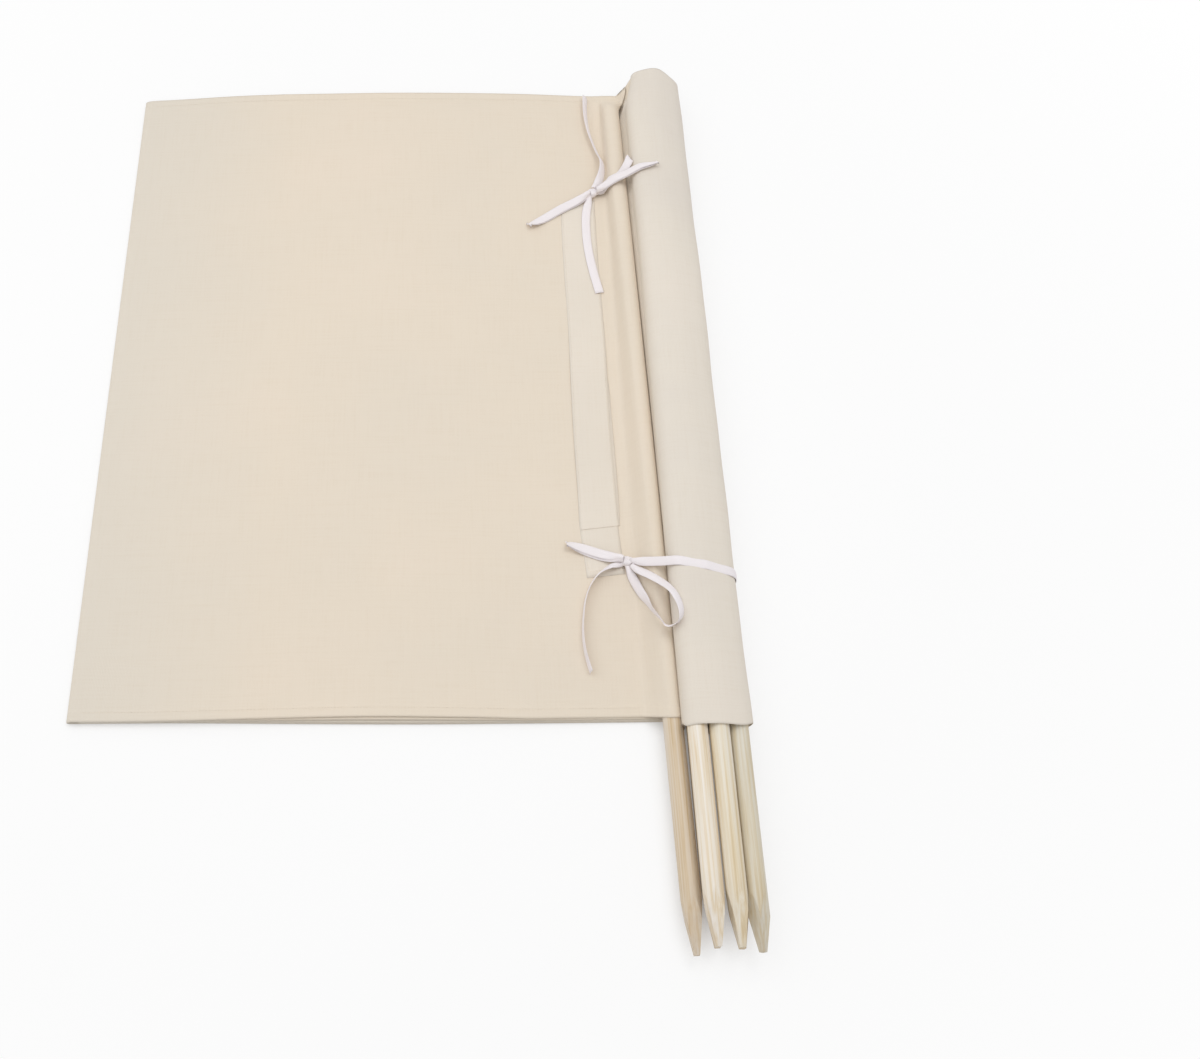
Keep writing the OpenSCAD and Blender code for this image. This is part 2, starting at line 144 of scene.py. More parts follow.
def hump(x, place, wide):
    """One at a place, falling away to nothing on both sides of it."""
    return np.exp(-(((x - place) / wide) ** 2))


def flowing(rows, steps=8):
    """A smooth curve through every row of a table."""
    p = np.vstack([2 * rows[0] - rows[1], rows, 2 * rows[-1] - rows[-2]])
    s = np.linspace(0, 1, steps, endpoint=False)[:, None]
    runs = []
    for a, b, c, d in zip(p[:-3], p[1:-2], p[2:-1], p[3:]):
        square, cube = 2 * a - 5 * b + 4 * c - d, 3 * b - a - 3 * c + d
        runs.append((2 * b + (c - a) * s + square * s**2 + cube * s**3) / 2)
    return np.vstack([*runs, rows[-1:]])


def lengths_along(points):
    return np.concatenate([[0], np.cumsum(np.linalg.norm(np.diff(points, axis=0), axis=1))])


def arc(centre, radius, a0, a1, steps=12):
    a = np.radians(np.linspace(a0, a1, steps + 1))[:, None]
    return np.array(centre) + radius * np.hstack([np.cos(a), np.sin(a)])


def leaving(c1, r1, c2, r2):
    """Angle at which a taut cloth leaves one round thing for the next, both on its left hand."""
    d = c2 - c1
    return math.degrees(math.atan2(d[1], d[0]) - math.acos((r1 - r2) / np.linalg.norm(d)))


def filled_in(path, step):
    """The same path with extra points on its long straight runs."""
    path = np.array(path, float)
    out = [path[:1]]
    for a, b in zip(path[:-1], path[1:]):
        n = max(1, int(np.ceil(np.linalg.norm(b - a) / step)))
        out.append(a + (b - a) * np.linspace(0, 1, n + 1)[1:, None])
    return np.vstack(out)


def quads(rows, columns, start=0, wraps=(False, False), flip=False):
    """Faces of a grid of points, which may close on itself along its rows or its columns."""

    def spot(i, j):
        return start + i % rows * columns + j % columns

    faces = []
    for i in range(rows - (not wraps[0])):
        for j in range(columns - (not wraps[1])):
            ring = (spot(i, j), spot(i, j + 1), spot(i + 1, j + 1), spot(i + 1, j))
            faces.append(ring[:1] + ring[:0:-1] if flip else ring)
    return faces


def add_piece(name, verts, faces, uvs, material, nodes=()):
    """A mesh of the pack, given in millimetres, that rides with it and stands for its solids."""
    mesh = bpy.data.meshes.new(name)
    mesh.from_pydata((np.asarray(verts) * MM + CORNER).tolist(), [], faces)
    if uvs is not None:
        layer = mesh.uv_layers.new(name="cut")
        corners = np.zeros(len(mesh.loops), int)
        mesh.loops.foreach_get("vertex_index", corners)
        layer.data.foreach_set("uv", (np.asarray(uvs)[corners] * MM).ravel())
    mesh.shade_smooth()
    piece = bpy.data.objects.new(name, mesh)
    bpy.context.scene.collection.objects.link(piece)
    mesh.materials.append(material)
    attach(piece, "root")
    if nodes:
        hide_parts(*nodes)
    return piece


# %% [markdown]
# ## Finishes
# Every colour is written as the sRGB hex value that the eye sees and turned to linear light by one
# function. One other function adds a shader node with its settings and links.

# %% Colour and node helpers
def linear(hex_colour):
    parts = [int(hex_colour[i : i + 2], 16) / 255 for i in (1, 3, 5)]
    return (*(c / 12.92 if c <= 0.04045 else ((c + 0.055) / 1.055) ** 2.4 for c in parts), 1)


def add_node(tree, kind, settings=None, links=None):
    """Adds one shader node. Settings are its properties or sockets; a linked node gives its first output."""
    node = tree.nodes.new("ShaderNode" + kind)
    for key, value in (settings or {}).items():
        if isinstance(key, str) and hasattr(node, key):
            setattr(node, key, value)
        else:
            node.inputs[key].default_value = value
    for key, source in (links or {}).items():
        tree.links.new(getattr(source, "outputs", (source,))[0], node.inputs[key])
    return node


def new_finish(name, settings):
    """A material with one Principled shader, set by its own sockets."""
    material = bpy.data.materials.new(name)
    material.use_nodes = True
    tree = material.node_tree
    shader = tree.nodes["Principled BSDF"]
    for key, value in settings.items():
        shader.inputs[key].default_value = value
    return material, tree, shader


def set_ramp(node, stops):
    ramp = node.color_ramp
    while len(ramp.elements) < len(stops):
        ramp.elements.new(0.5)
    for element, (place, colour) in zip(ramp.elements, stops):
        element.position = place
        element.color = linear(colour)


# A wave texture at scale 1 repeats every 0.314 units, so this gives the scale for a period in metres
WAVE_PERIOD = 2 * math.pi / 20

# %% [markdown]
# ### Unbleached cotton
# Plain-woven calico, not dyed: warm off-white with thicker slub threads running both ways and soft
# patches where it is a little cooler. It scatters light evenly and has a faint sheen from loose fibre.
# Toward the outer fold the outer leaf is greyed with painted shade.
# Its threads are about 0.5 mm apart, too fine to show, so the weave is drawn at 1.4 mm. The turn round the
# poles is the same cloth in a slightly cooler copy, which is painted light: it stands for the cooler light
# on the roll. The strap is the same cloth in a slightly cooler tone.


# %% Cotton calico
def cotton_calico(name, tones, painted_fold_shade=0.0):
    """Calico in soft patches of three tones, with painted shade greying it toward the outer fold; the last
    argument says how far.
    """
    material, tree, shader = new_finish(
        name, {"Roughness": 0.92, "IOR": 1.47, "Sheen Weight": 0.05, "Specular IOR Level": 0.2})
    uv = add_node(tree, "UVMap", {"uv_map": "cut"})
    patch = add_node(tree, "TexNoise", {"Scale": 1 / 0.22, "Detail": 3, "Roughness": 0.5}, {"Vector": uv})
    tone = add_node(tree, "ValToRGB", None, {"Fac": patch})
    set_ramp(tone, tuple(zip((0.3, 0.52, 0.72), tones)))
    along_cut = add_node(tree, "SeparateXYZ", None, {"Vector": uv}).outputs["X"]
    # Painted shade: along the cut toward the outer fold the tone is mixed with the grey #ddd6ca.
    painted_shade_share = add_node(
        tree, "MapRange", {"From Min": 0.38, "From Max": 0.55, "To Max": painted_fold_shade}, {"Value": along_cut})
    painted_shade_tone = add_node(tree, "MixRGB", {"Color2": linear("#ddd6ca")}, {"Fac": painted_shade_share, "Color1": tone})
    slubs, uneven = [], {"Scale": 1, "Detail": 2, "Roughness": 0.55}
    for across, along in ((1 / 0.0022, 1 / 0.06), (1 / 0.06, 1 / 0.0022)):
        run = add_node(tree, "Mapping", {"Scale": (across, along, 1)}, {"Vector": uv})
        slubs.append(add_node(tree, "TexNoise", uneven, {"Vector": run}))
    threads = add_node(tree, "Math", {"operation": "ADD"}, dict(enumerate(slubs)))
    halved = add_node(tree, "Math", {"operation": "MULTIPLY", 1: 0.5}, {0: threads})
    fleck = add_node(tree, "ValToRGB", None, {"Fac": halved})
    set_ramp(fleck, ((0.35, "#f4efe8"), (0.5, "#fdfcfb"), (0.7, "#ffffff")))
    flecked = {"blend_type": "MULTIPLY", "Fac": 0.22}
    colour = add_node(tree, "MixRGB", flecked, {"Color1": painted_shade_tone, "Color2": fleck})
    tree.links.new(colour.outputs["Color"], shader.inputs["Base Color"])
    waves = []
    for way in "XY":
        weave = {"bands_direction": way, "Scale": WAVE_PERIOD / 0.0014}
        waves.append(add_node(tree, "TexWave", weave, {"Vector": uv}).outputs["Fac"])
    cross = add_node(tree, "Math", {"operation": "MULTIPLY"}, dict(enumerate(waves)))
    height = add_node(tree, "Math", {"operation": "ADD"}, {0: cross, 1: threads})
    bump = add_node(tree, "Bump", {"Strength": 0.25, "Distance": 0.00025}, {"Height": height})
    tree.links.new(bump.outputs["Normal"], shader.inputs["Normal"])
    return material


# The outer leaf's greying toward its fold is painted shade.
CALICO = cotton_calico("cotton_calico", ("#e4d9c9", "#e6dac9", "#e8dbca"), painted_fold_shade=0.7)
# The turn's cooler copy of the calico is painted light, standing for the cooler light on the roll.
CALICO_TURN_PAINTED_LIGHT = cotton_calico("cotton_calico_turn_painted_light", ("#dfd7cd", "#e4dcd0", "#e7ded2"))
CALICO_STRAP = cotton_calico("cotton_calico_strap", ("#e3dacd", "#e7ded1", "#eae0d3"))
print("finishes", CALICO.name, CALICO_TURN_PAINTED_LIGHT.name, CALICO_STRAP.name)

# %% [markdown]
# ### White tape and sewing thread
# The ties are bleached cotton twill tape: cooler and whiter than the calico, with slanting ribs about a
# millimetre apart and a firm woven edge. The thread is spun cotton close to the colour of the cloth.


# %% Twill tape and thread
def twill_tape():
    surface = {"Roughness": 0.85, "IOR": 1.47, "Sheen Weight": 0.1, "Specular IOR Level": 0.3}
    material, tree, shader = new_finish("bleached_twill_tape", surface)
    uv = add_node(tree, "UVMap", {"uv_map": "cut"})
    slant = add_node(tree, "Mapping", {"Rotation": (0, 0, math.radians(40))}, {"Vector": uv})
    twill = {"bands_direction": "X", "Scale": WAVE_PERIOD / 0.0011, "Distortion": 0.6}
    ribs = add_node(tree, "TexWave", twill, {"Vector": slant}).outputs["Fac"]
    tone = add_node(tree, "ValToRGB", None, {"Fac": ribs})
    set_ramp(tone, ((0.0, "#ebe4e6"), (0.5, "#f2ecee"), (1.0, "#f6f1f3")))
    tree.links.new(tone.outputs["Color"], shader.inputs["Base Color"])
    bump = add_node(tree, "Bump", {"Strength": 0.4, "Distance": 0.0002}, {"Height": ribs})
    tree.links.new(bump.outputs["Normal"], shader.inputs["Normal"])
    return material


def cotton_thread():
    material, tree, shader = new_finish("cotton_thread", {"Roughness": 0.8, "IOR": 1.47, "Sheen Weight": 0.1})
    place = add_node(tree, "TexCoord").outputs["Object"]
    fuzz = add_node(tree, "TexNoise", {"Scale": 1 / 0.003, "Detail": 1}, {"Vector": place})
    tone = add_node(tree, "ValToRGB", None, {"Fac": fuzz})
    set_ramp(tone, ((0.3, "#d9cdbb"), (0.7, "#ebe0d0")))
    tree.links.new(tone.outputs["Color"], shader.inputs["Base Color"])
    return material


TAPE, THREAD = twill_tape(), cotton_thread()
print("finishes", TAPE.name, THREAD.name)

# %% [markdown]
# ### Pine
# The poles are turned pine, sanded and left bare. Long narrow streaks of darker late wood run along the
# pole, each pole has its own paleness, and the cut points are a little greyer from the ground.


# %% Bare pine
def bare_pine(n, tint):
    """Pine for pole n; the tint is how that pole's own wood differs."""
    material, tree, shader = new_finish(
        f"bare_pine_{n}", {"Roughness": 0.62, "IOR": 1.5, "Specular IOR Level": 0.35})
    place = add_node(tree, "TexCoord").outputs["Object"]
    run = add_node(tree, "Mapping", {"Scale": (1 / 0.0032, 1 / 0.19, 1 / 0.0032)}, {"Vector": place})
    streaks = {"Scale": 1, "Detail": 5, "Roughness": 0.6, "Distortion": 0.4}
    grain = add_node(tree, "TexNoise", streaks, {"Vector": run})
    tone = add_node(tree, "ValToRGB", None, {"Fac": grain})
    set_ramp(tone, ((0.3, "#d8c3a0"), (0.43, "#e6d6bc"), (0.54, "#ece2d2"), (0.66, "#f1eae0")))
    own_tint = {"blend_type": "MULTIPLY", "Fac": 1, "Color2": linear(tint)}
    wood = add_node(tree, "MixRGB", own_tint, {"Color1": tone})
    tips = min(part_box(f"pole_{k}")[0][1] for k in range(1, 7))
    height = add_node(tree, "SeparateXYZ", None, {"Vector": place}).outputs["Y"]
    near_tip = add_node(
        tree, "MapRange", {"From Min": tips + 0.07, "From Max": tips, "To Max": 0.45}, {"Value": height})
    soil = add_node(tree, "TexNoise", {"Scale": 1 / 0.012, "Detail": 3}, {"Vector": place})
    stain = add_node(tree, "Math", {"operation": "MULTIPLY"}, {0: near_tip, 1: soil})
    worn = add_node(tree, "MixRGB", {"Color2": linear("#a89c8e")}, {"Fac": stain, "Color1": wood})
    tree.links.new(worn.outputs["Color"], shader.inputs["Base Color"])
    bump = add_node(tree, "Bump", {"Strength": 0.3, "Distance": 0.0002}, {"Height": grain})
    tree.links.new(bump.outputs["Normal"], shader.inputs["Normal"])
    return material


PINE_TINTS = ("#ebe5de", "#ffffff", "#efe6d8", "#f8f8f3", "#efe6d8", "#eaebe6")
for n, tint in enumerate(PINE_TINTS, 1):
    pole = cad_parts[f"pole_{n}"]
    pole.data.materials.clear()
    pole.data.materials.append(bare_pine(n, tint))
print("poles in", len(PINE_TINTS), "tints of bare pine")

# %% [markdown]
# ## Tape ties
# Each tie is a flat tape knotted in a bow. A flat tape has a way its width faces as well as a line, so
# each route is a table: place from the knot and lift over what it lies on, both in tape widths, then its
# heading and how far it stands on edge. The tables follow those of the solids to within a few millimetres.

# %% What a tape lies on
TAPE_W, TAPE_T = 10.0, 0.5
POCKET_LIP = 16.0
POCKET_RISE = math.tan(2 * math.atan(POCKET_OUT / POCKET_LIP))
SHOULDER_R = SLACK_R + CLOTH_T / 2
SHOULDER = arc(SLACK_LEFT, SHOULDER_R, 140, 140, 0)[0]
STRAP_SPAN = (0.187 * CLOTH_H, 0.8 * CLOTH_H)


def ground(x, y):
    """Level of what lies under a tape; over the valley it hangs straight from the pocket to the roll."""
    axis = FOLD_TO_POLE - y * LEAN
    seam = axis - POCKET_LIP
    if x > SLACK_LEFT[0]:
        return ROLL_TOP
    if x > axis:
        beside = min(SLACK_LEFT[0] - x, SHOULDER_R)
        shoulder = SLACK_LEFT[1] + math.sqrt(SHOULDER_R**2 - beside**2)
        bridge = POCKET_TOP + (SHOULDER[1] - POCKET_TOP) * (x - axis) / (SHOULDER[0] - axis)
        return bridge if x < SLACK_LEFT[0] - SHOULDER_R else max(shoulder, bridge if x < SHOULDER[0] else 0)
    if x > seam:
        return min(POCKET_TOP, STACK_H + LEAF_GAP + (x - seam) * POCKET_RISE)
    on_strap = STRAP_LEFT < x < STRAP_LEFT + STRAP_W and STRAP_SPAN[0] < y < STRAP_SPAN[1]
    return STRAP_TOP if on_strap else STACK_H


def into_knot(row):
    """A row 0.3 widths nearer to the knot, so that the tape comes out of it."""
    across, along, *rest = row
    nearer = 1 - 0.3 / math.hypot(across, along)
    return (across * nearer, along * nearer, *rest)


def route(knot, rows, both_ends):
    """Centres and width directions of a tape, from its table."""
    rows = [into_knot(rows[0]), *rows, *([into_knot(rows[-1])] if both_ends else [])]
    centres, ways = [], []
    for across, along, lift, heading, tilt in rows:
        h, t = math.radians(heading), math.radians(tilt)
        way = np.array((-math.sin(h) * math.cos(t), math.cos(h) * math.cos(t), math.sin(t)))
        x, y = knot[0] + across * TAPE_W, knot[1] + along * TAPE_W
        half = way * TAPE_W / 2
        base = max(ground(x + s * half[0], y + s * half[1]) for s in (-1, 0, 1))
        centres.append((x, y, base + abs(half[2]) + TAPE_T / 2 + lift * TAPE_W))
        ways.append(way)
    return flowing(np.array(centres)), unit(flowing(np.array(ways)))


# %% One tape as a mesh
ACROSS = np.linspace(-1, 1, 11)
TAPE_CURL, PINCH_CURL, PINCH_LONG = 0.3, 1.7, 10.0


def curled(centres, ways, both_ends):
    """Rings of a tape that is a little hollow underneath and rolls up where the knot pinches it."""
    run = unit(np.gradient(centres, axis=0))
    ways = unit(ways - run * (ways * run).sum(1, keepdims=True))
    face = np.cross(run, ways)
    along = lengths_along(centres)
    from_knot = np.minimum(along, along[-1] - along) if both_ends else along
    lean = np.clip(4 * face[:, 2], -1, 1)
    pinch = TAPE_CURL + PINCH_CURL * hump(from_knot, 0, PINCH_LONG)
    curl = np.maximum(pinch * np.abs(lean), 0.02)[:, None]
    way_up, bend_r = np.sign(lean)[:, None], TAPE_W / 2 / curl
    thick = TAPE_T / 2 * (1 - 0.6 * np.abs(ACROSS) ** 6)
    upper, lower = [], []
    for s, t in zip(ACROSS, thick):
        a = curl * s
        middle = centres + ways * bend_r * np.sin(a) + face * way_up * bend_r * (np.cos(a) - np.cos(curl))
        out = face * np.cos(a) + ways * np.sin(a) * way_up
        upper.append(middle + out * t)
        lower.append(middle - out * t)
    return np.stack(upper + lower[::-1], axis=1)


def tape_piece(name, node, centres, ways, both_ends=False):
    """A thin tape with rounded edges, swept along its centres."""
    rings = curled(centres, ways, both_ends)
    count, around = rings.shape[:2]
    faces = quads(count, around, wraps=(False, True))
    faces += [tuple(range(around))[::-1], tuple((count - 1) * around + j for j in range(around))]
    along = lengths_along(centres)
    side = np.concatenate([ACROSS, ACROSS[::-1]]) * TAPE_W / 2
    uvs = np.stack([np.repeat(along, around), np.tile(side, count)], axis=1)
    piece = add_piece(name, rings.reshape(-1, 3), faces, uvs, TAPE, [node])
    print(name, "is", round(along[-1]), "mm long")
    return piece, along[-1]


# %% Routes of the two ties
UPPER_KNOT = np.array((STRAP_LEFT + STRAP_W - 0.3 * TAPE_W, 0.807 * CLOTH_H, STRAP_TOP + 4.81))
LOWER_KNOT = np.array((STRAP_LEFT + STRAP_W + 0.48 * TAPE_W, 0.206 * CLOTH_H, STRAP_TOP + 4.81))
UPPER_ROUTES = {
    "left_loop": (
        (-0.59, -0.38, 0.3, 213, 0), (-1.9, -1.12, 0.05, 213, -4), (-3.8, -2.32, 0.05, 213, -10),
        (-5.5, -3.45, 0.05, 213, -4), (-6.8, -4.3, 0.05, 212, 20), (-7.5, -4.72, 0.1, 211, 48),
        (-6.8, -4.28, 0.16, 212, 20), (-5.5, -3.41, 0.17, 213, -4), (-3.8, -2.27, 0.17, 213, -10),
        (-1.9, -1.06, 0.24, 213, -4), (-0.62, -0.3, 0.6, 213, 0)),
    "right_loop": (
        (0.68, 0.1, 0.8, 9, 6), (1.5, 0.26, 1.12, 9, 6), (2.32, 0.4, 0.2, 9, 4), (3, 0.49, 0.6, 8, 0),
        (3.9, 0.56, 0.3, 7, -6), (5.2, 0.6, 0.06, 10, -16), (6.3, 0.8, 0.05, 13, -30),
        (7.2, 1.03, 0.14, 14, -46), (6.3, 0.86, 0.22, 13, -30), (5.2, 0.68, 0.24, 10, -16),
        (3.9, 0.62, 0.44, 7, -6), (3, 0.54, 0.74, 8, 0), (2.32, 0.44, 0.34, 9, 4), (1.5, 0.29, 1.27, 9, 6),
        (0.68, 0.16, 0.95, 9, 6)),
    "top_tail": (
        (0.24, 0.66, 0.72, 62, 6), (0.7, 1.35, 0.6, 66, 16), (1.1, 2.3, 0.25, 74, 34),
        (1.33, 3.4, 0.04, 86, 48), (1.3, 4.55, 0.04, 96, 54), (1, 6.05, 0.04, 104, 56),
        (0.5, 7.9, 0.04, 104, 56), (0.1, 9.8, 0.04, 99, 56), (-0.1, 11.85, 0.04, 93, 55),
        (-0.1, 13.7, 0.04, 88, 54), (0, 15.3, 0.04, 86, 52)),
    "low_tail": (
        (-0.3, -0.55, 0.1, 258, 0), (-0.77, -2.6, 0.03, 264, 0), (-0.92, -5, 0.03, 269, 0),
        (-0.85, -7.8, 0.03, 275, 0), (-0.5, -10.8, 0.03, 279, 0), (0.1, -14.2, 0.03, 280, 0)),
    "band": (
        (0.55, 0.3, 0.14, 18, 0), (1.2, 0.52, 0.3, 18, 0), (1.62, 0.66, 0.25, 18, 0),
        (2, 0.79, 0.2, 19, 0), (2.4, 0.92, 0.03, 20, 0), (3.1, 1.15, 0.04, 26, 0), (3.75, 1.7, 0.04, 42, 0),
        (4.15, 2.4, 0, 40, 0), (4.3, 3, -0.3, 20, 0), (4.32, 3.25, -1.1, 0, 0), (4.32, 3.3, -1.8, 0, 0)),
}
LOWER_ROUTES = {
    "left_loop": (
        (-0.7, 0.12, 0.62, 158, 0), (-1.4, 0.38, 0.4, 158, 0), (-2.6, 0.82, 0.06, 158, 0),
        (-4, 1.36, 0.04, 158, 4), (-5.2, 1.82, 0.06, 162, 26), (-5.95, 1.98, 0.2, 168, 50),
        (-5.3, 1.9, 0.28, 162, 26), (-4, 1.5, 0.25, 158, 0), (-2.6, 0.98, 0.25, 158, -2),
        (-1.4, 0.52, 0.56, 158, 0), (-0.7, 0.26, 0.85, 158, 0)),
    "right_loop": (
        (0.17, -0.66, 0.1, 292, 16), (0.38, -1.4, 0.08, 290, 26), (0.7, -2.3, 0.1, 288, 36),
        (1.12, -3.5, 0.14, 288, 52), (1.56, -4.72, 0.18, 290, 74), (1.92, -5.85, 0.18, 293, 92),
        (2.36, -7.05, 0.14, 300, 104), (2.95, -8, 0.1, 318, 112), (3.5, -8.4, 0.1, 344, 116),
        (4, -8.3, 0.08, 394, 92), (4.26, -7.55, 0.08, 432, 54), (4.16, -6.35, 0.08, 452, 36),
        (3.68, -5, 0.12, 466, 26), (3, -3.7, 0.25, 480, 16), (2.05, -2.45, 0.05, 490, 10),
        (1.2, -1.45, 0.67, 494, 6), (0.58, -0.74, 0.62, 496, 4)),
    "tail": (
        (-0.66, -0.24, 0.02, 192, 10), (-1.66, -0.55, 0.03, 205, 45), (-2.9, -1.45, 0.04, 225, 72),
        (-3.8, -2.7, 0.04, 241, 80), (-4.34, -4.14, 0.04, 255, 83), (-4.63, -5.72, 0.04, 263, 84),
        (-4.8, -7.6, 0.04, 269, 84), (-4.72, -9.45, 0.04, 276, 84), (-4.47, -10.85, 0.04, 283, 82),
        (-4.22, -11.9, 0.04, 285, 80)),
}


# %% The lower band, taut over the roll
OFF_FLOOR = leaving(LOW_RIGHT, FLOOR_R, SLACK_SIDE, SLACK_R)
OFF_SIDE = leaving(SLACK_SIDE, SLACK_R, UP_MID, PASS_R)


def band_route():
    """The band leaves the knot, lies over the roll and is sewn on below the roll's right-hand side."""
    past = CLOTH_T / 2 + LEAF_GAP + TAPE_T / 2 + 0.5
    start = np.array((LOWER_KNOT[0] + 0.42 * TAPE_W, LOWER_KNOT[2] + 0.1 * TAPE_W))
    d = start - SLACK_LEFT
    meet = math.degrees(math.atan2(d[1], d[0])) + 360
    meet -= math.degrees(math.acos((SLACK_R + past) / np.linalg.norm(d)))
    round_roll = [
        arc(SLACK_LEFT, SLACK_R + past, meet, 90),
        arc(UP_MID, PASS_R + past, 90, OFF_SIDE),
        arc(SLACK_SIDE, SLACK_R + past, OFF_SIDE, OFF_FLOOR),
    ]
    flat = filled_in(np.vstack([start[None], *round_roll]), 5)
    flat = flat[np.concatenate([[True], np.linalg.norm(np.diff(flat, axis=0), axis=1) > 1e-6])]
    far = lengths_along(flat)
    y = LOWER_KNOT[1] - 0.4 * far * (1 - 0.5 * far / far[-1])
    centres = np.stack([flat[:, 0], y, flat[:, 1]], axis=1)
    run = unit(np.gradient(flat, axis=0))
    out = np.stack([-run[:, 1], 0 * y, run[:, 0]], axis=1)
    return centres, unit(np.cross(out, unit(np.gradient(centres, axis=0))))


tapes = {}
for tie, knot, routes in (("upper", UPPER_KNOT, UPPER_ROUTES), ("lower", LOWER_KNOT, LOWER_ROUTES)):
    for part, rows in routes.items():
        loop = part.endswith("loop")
        line = route(knot, rows, loop)
        tapes[f"{tie}_{part}"] = tape_piece(f"{tie}_{part}_tape", f"{tie}_tie_{part}", *line, loop)
tapes["lower_band"] = tape_piece("lower_band_tape", "lower_tie_band", *band_route())

# %% [markdown]
# ### Knots
# A bow's knot is a few turns of the same tape pulled tight. A ball would look moulded, so each knot is a
# pinched core with creases where the loops are drawn in, and one turn of tape bound over it.


# %% Bound knots
def squarish(angle, share=0.75):
    """Cosine and sine of an angle, pressed outward so that a round section gets flatter sides."""
    c, s = math.cos(angle), math.sin(angle)
    return math.copysign(abs(c) ** share, c), math.copysign(abs(s) ** share, s)


KNOT_CORE = (6.2, 4.2, 3.4)
KNOT_TURN = (4.6, 3.9)


def knot_piece(name, node, centre, heading):
    """A gathered core along the bow and one pinched turn of tape bound over it."""
    turn = math.radians(heading)
    bow = np.array((math.cos(turn), math.sin(turn), 0))
    side = np.array((-math.sin(turn), math.cos(turn), 0))
    up = np.array((0, 0, 1))
    verts, uvs = [], []
    rings, around = 16, 36
    for i in range(rings):
        a = math.pi * (i + 0.5) / rings
        for j in range(around):
            b = 2 * math.pi * j / around
            crease = 1 + 0.13 * math.cos(6 * b + 0.8) * abs(math.cos(a))
            girth = side * KNOT_CORE[1] * math.cos(b) + up * KNOT_CORE[2] * math.sin(b)
            p = bow * KNOT_CORE[0] * math.cos(a) + girth * math.sin(a) ** 0.6 * crease
            verts.append(centre + p - up * 0.6)
            uvs.append((5 * b, 6 * math.cos(a)))
    faces = quads(rings, around, wraps=(False, True), flip=True)
    faces += [tuple(range(around)), tuple((rings - 1) * around + j for j in range(around))[::-1]]
    start, across = len(verts), np.linspace(-1, 1, 15)
    for j in range(around):
        b = 2 * math.pi * j / around
        c, s = squarish(b)
        radial = side * KNOT_TURN[0] * c + up * KNOT_TURN[1] * s
        reach = 4.3 - 0.9 * abs(math.cos(b)) ** 3
        for w in across:
            folds = -0.09 * hump(w, 0.25, 0.16) - 0.06 * hump(w, -0.45, 0.12)
            swell = 1 + 0.13 * (1 - w * w) + folds * (0.6 + 0.4 * math.sin(b + 0.5))
            verts.append(centre + bow * (reach * w + 1.1 * math.sin(b)) + radial * swell)
        for w in across[::-1]:
            verts.append(centre + bow * (reach * w + 1.1 * math.sin(b)) + radial * 0.86)
        uvs += [(5 * b, 4.5 * w) for w in (*across, *across[::-1])]
    faces += quads(around, 2 * len(across), start, wraps=(True, True))
    piece = add_piece(name, verts, faces, uvs, TAPE, [node])
    return piece


knots = {
    "upper": knot_piece("upper_knot_tape", "upper_tie_knot", UPPER_KNOT, 25),
    "lower": knot_piece("lower_knot_tape", "lower_tie_knot", LOWER_KNOT, -12),
}
for name, (piece, long) in tapes.items():
    tie = name.split("_")[0]
print("knots", [k.name for k in knots.values()])

# %% [markdown]
# ## How the cloth settles
# Real leaves are never quite flat. All leaves share one soft settling of the space they lie in: the
# stack swells a little in waves, the lower edges lift and slip so that the leaves fan out there, and the
# hems draw the corners in. Because lower leaves move less than upper ones, no leaf crosses another.

# %% Settling of the stack
EDGE_RISE_TOP = np.array((
    (0, -10.5), (60, -6), (120, -2.2), (219, 2.2), (303, 4.8), (424, 5.2), (571, 4.2), (640, 4)))
EDGE_RISE_FOOT = np.array((
    (0, 4.2), (45, 3.7), (100, 3.5), (165, 4.2), (250, 5.2), (300, 4.9), (350, 3.7),
    (390, 2.5), (434, 1), (490, 1.3), (566, 1.6), (640, 1.5)))
EDGE_RISE_LOWEST = np.array((
    (0, 4.7), (100, 4), (228, 1.4), (330, -0.4), (434, -1), (566, -1.4), (640, -1.4)))
SLIP_SHARES = np.array((0, 0.01, 0.02, 0.03, 0.05, 0.07, 0.48, 0.5, 0.53, 1))
LIFT_SHARES = np.array((0, 0.03, 0.06, 0.1, 0.28, 0.31, 0.34, 0.58, 0.62, 1))
FOOT_LIFT, HEAD_LIFT, SWELL = 1.8, 2.5, 0.9
CORNER_DRAW, CORNER_LONG = 10.5, 220


def read_table(table, x):
    fine = flowing(table, 10)
    return np.interp(x, fine[:, 0], fine[:, 1])


def settled(x, y, z):
    """Where a point of the folded stack comes to lie."""
    slip, lift = np.interp(z, LEAF_Z, SLIP_SHARES), np.interp(z, LEAF_Z, LIFT_SHARES)
    foot = read_table(EDGE_RISE_LOWEST, x) * (1 - slip) + read_table(EDGE_RISE_FOOT, x) * slip
    drawn = CORNER_DRAW * (1 - smooth_step(0, CORNER_LONG, x))
    head = read_table(EDGE_RISE_TOP, x) * (0.55 + 0.45 * slip) - 0.45 * (1 - slip) * drawn
    share = y / CLOTH_H
    middle = smooth_step(20, 170, x) * (1 - smooth_step(430, 545, x))
    waves = 0.5 + 0.22 * np.sin(x / 61 + y / 143) + 0.16 * np.sin(x / 37 - y / 88 + 1.3)
    waves = waves + 0.12 * np.sin(y / 47 + x / 210)
    rise = SWELL * waves * smooth_step(10, 90, x) * (1 - smooth_step(380, 445, x))
    lifted = FOOT_LIFT * hump(np.maximum(y, 0), 0, 26) + HEAD_LIFT * hump(y, CLOTH_H, 30)
    rise = rise + middle * lifted
    return x, y + foot * (1 - share) + head * share, z + rise * lift


# %% [markdown]
# ## Cloth pieces
# Each piece of cloth is one path in the cross-section drawn along the poles: a grid of points, thickened
# to the real 0.4 mm by a Solidify modifier. The grid is close-set near the edges, where hems step up.


